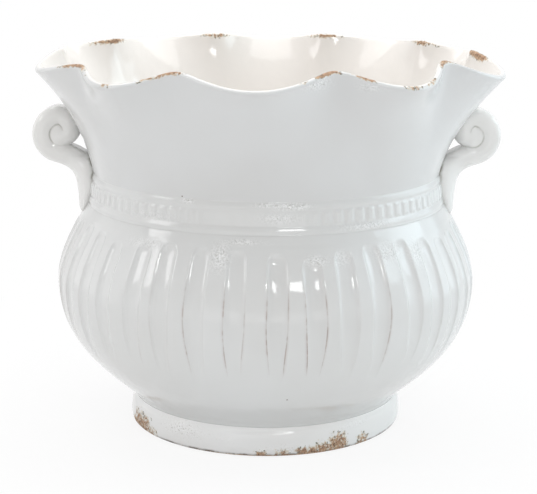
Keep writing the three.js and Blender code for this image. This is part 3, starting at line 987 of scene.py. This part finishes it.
# %% Rubbed to clay
rubbed, rubbed_in, rubbed_out = new_group(
    "Rubbed to clay",
    [
        ("Glaze", COLOUR, (0.74, 0.74, 0.73, 1)),
        ("Glaze Roughness", NUMBER, 0.06),
        ("Wear", NUMBER, 0.0),
    ],
    [("Colour", COLOUR), ("Roughness", NUMBER), ("Glazed", NUMBER)],
)
ragged = arithmetic(rubbed, "ADD", rubbed_in.outputs["Wear"], noise(rubbed, 380, 7, 0.68))
bare = ramp(rubbed, ragged, 0.99, 1.07)
sandy, ruddy, sooty = (0.57, 0.385, 0.25), (0.44, 0.265, 0.17), (0.15, 0.095, 0.06)
earth = blend(rubbed, ramp(rubbed, noise(rubbed, 260, 4), 0.38, 0.62), sandy, ruddy)
dark = ramp(rubbed, noise(rubbed, 640, 4, 0.7), 0.5, 0.58)
worn_deep = arithmetic(rubbed, "MULTIPLY", dark, ramp(rubbed, ragged, 1.0, 1.15))
earth = blend(rubbed, worn_deep, earth, sooty)
fringe = ramp(rubbed, ragged, 0.88, 1.0, 0, 0.7)
stained = blend(rubbed, fringe, rubbed_in.outputs["Glaze"], (0.72, 0.64, 0.5))
specks = ramp(rubbed, noise(rubbed, 520, 3, 0.6), 0.54, 0.6)
at_fringe = arithmetic(rubbed, "MULTIPLY", specks, ramp(rubbed, ragged, 0.86, 0.98))
stained = blend(rubbed, at_fringe, stained, (0.14, 0.135, 0.1))
wire(rubbed, blend(rubbed, bare, stained, earth), rubbed_out.inputs["Colour"])
rougher = arithmetic(rubbed, "MULTIPLY", bare, 0.7)
rough = arithmetic(rubbed, "ADD", rougher, rubbed_in.outputs["Glaze Roughness"])
wire(rubbed, rough, rubbed_out.inputs["Roughness"])
wire(rubbed, arithmetic(rubbed, "SUBTRACT", 1, bare), rubbed_out.inputs["Glazed"])
print(rubbed.name, "has", len(rubbed.nodes), "nodes")

# %% [markdown]
# ## The materials
# All six pieces carry the same glaze, with its own tint and wear on each. The foot and the handles
# are painted lighter and the collar darker than the bowl: painted light and shade, besides the foot's
# thicker glaze and the handles' own tint. One function therefore builds a material from the four
# groups. The Principled shader's own reflection, with the index of glass, is gloss enough for a
# glaze, and a Bump node gives it its faint ripple and the step down where it has broken away.


# %% Build a glaze material
def glaze_material(name, thick, thin_colour, inner=None, thin_glaze_and_shade_colours=((0.36, 0.19, 0.15), (0.2, 0.13, 0.11))):
    """A glazed surface that reads the piece's own values: inside, pitted, line and wear."""
    material = bpy.data.materials.new(name)
    material.use_nodes = True
    tree = material.node_tree
    skin = tree.nodes["Principled BSDF"]

    def value_of(label):
        return add_node(tree, "ShaderNodeAttribute", attribute_name=label).outputs["Fac"]

    clouds = add_node(tree, "ShaderNodeGroup", node_tree=cloudy)
    clouds.inputs["Thick"].default_value = (*thick, 1)
    clouds.inputs["Thin"].default_value = (*thin_colour, 1)
    colour = clouds.outputs["Colour"]
    if inner:
        colour = blend(tree, value_of("inside"), colour, inner)
    specks = add_node(tree, "ShaderNodeGroup", node_tree=boiled)
    wire(tree, colour, specks.inputs["Colour"])
    wire(tree, value_of("pitted"), specks.inputs["Pitted"])
    edges = add_node(tree, "ShaderNodeGroup", node_tree=thin_glaze_and_shade)
    wire(tree, specks.outputs["Colour"], edges.inputs["Colour"])
    wire(tree, value_of("line"), edges.inputs["Line"])
    edges.inputs["Clay"].default_value = (*thin_glaze_and_shade_colours[0], 1)
    edges.inputs["Dark Clay"].default_value = (*thin_glaze_and_shade_colours[1], 1)
    worn = add_node(tree, "ShaderNodeGroup", node_tree=rubbed)
    wire(tree, edges.outputs["Colour"], worn.inputs["Glaze"])
    wire(tree, clouds.outputs["Roughness"], worn.inputs["Glaze Roughness"])
    wire(tree, value_of("wear"), worn.inputs["Wear"])
    wire(tree, worn.outputs["Colour"], skin.inputs["Base Color"])
    wire(tree, worn.outputs["Roughness"], skin.inputs["Roughness"])
    relief = add_node(tree, "ShaderNodeBump")
    relief.inputs["Strength"].default_value = 0.35
    relief.inputs["Distance"].default_value = 0.0006
    height = arithmetic(tree, "ADD", clouds.outputs["Height"], worn.outputs["Glazed"])
    height = arithmetic(tree, "ADD", height, specks.outputs["Height"])
    wire(tree, height, relief.inputs["Height"])
    wire(tree, relief.outputs["Normal"], skin.inputs["Normal"])
    skin.inputs["IOR"].default_value = 1.5
    return material


white, grey_white, cream = (0.745, 0.75, 0.745), (0.715, 0.715, 0.705), (0.85, 0.815, 0.775)
# olive colours paint the shade in the handles' seams and turns, together with the pooled glaze
olive_seam_shade = ((0.3, 0.28, 0.22), (0.16, 0.15, 0.12))
# dark colours for the foot's base: clay, with a painted contact shadow
base_clay_and_shadow = ((0.19, 0.13, 0.1), (0.08, 0.07, 0.06))
# foot and handle glazes are painted lighter and the collar glaze darker, as painted light and shade
finishes = {
    "foot_glaze": glaze_material("foot_glaze", (0.92, 0.92, 0.915), (0.89, 0.88, 0.865), thin_glaze_and_shade_colours=base_clay_and_shadow),
    "bowl_glaze": glaze_material("bowl_glaze", white, grey_white, cream),
    "collar_glaze": glaze_material("collar_glaze", (0.71, 0.715, 0.715), (0.68, 0.68, 0.675), cream),
    "band_glaze": glaze_material("band_glaze", white, grey_white),
    "handle_glaze": glaze_material("handle_glaze", (0.84, 0.835, 0.82), (0.81, 0.8, 0.78), thin_glaze_and_shade_colours=olive_seam_shade),
}
print("materials:", sorted(finishes))

# %% [markdown]
# ## Put the pieces in place
# Every piece was modelled where the solid one stands, so nothing is moved. Each one rides on the
# pot's single body, takes the place of its solid and names the finish that it wears.

# %% Ride, replace and finish
parts = [
    (foot, "foot_ring", "foot_glaze"),
    (bowl, "belly_bowl", "bowl_glaze"),
    (collar, "neck_collar", "collar_glaze"),
    (band, "relief_band", "band_glaze"),
    (right_handle, "handle_right", "handle_glaze"),
    (left_handle, "handle_left", "handle_glaze"),
]
for piece, node_name, slot in parts:
    piece.data.materials.clear()
    piece.data.materials.append(finishes[slot])
    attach(piece, "root")
    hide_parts(node_name)
    triangles = sum(len(face.vertices) - 2 for face in piece.data.polygons)
    print(piece.name, "stands for", node_name, "with", triangles, "triangles")
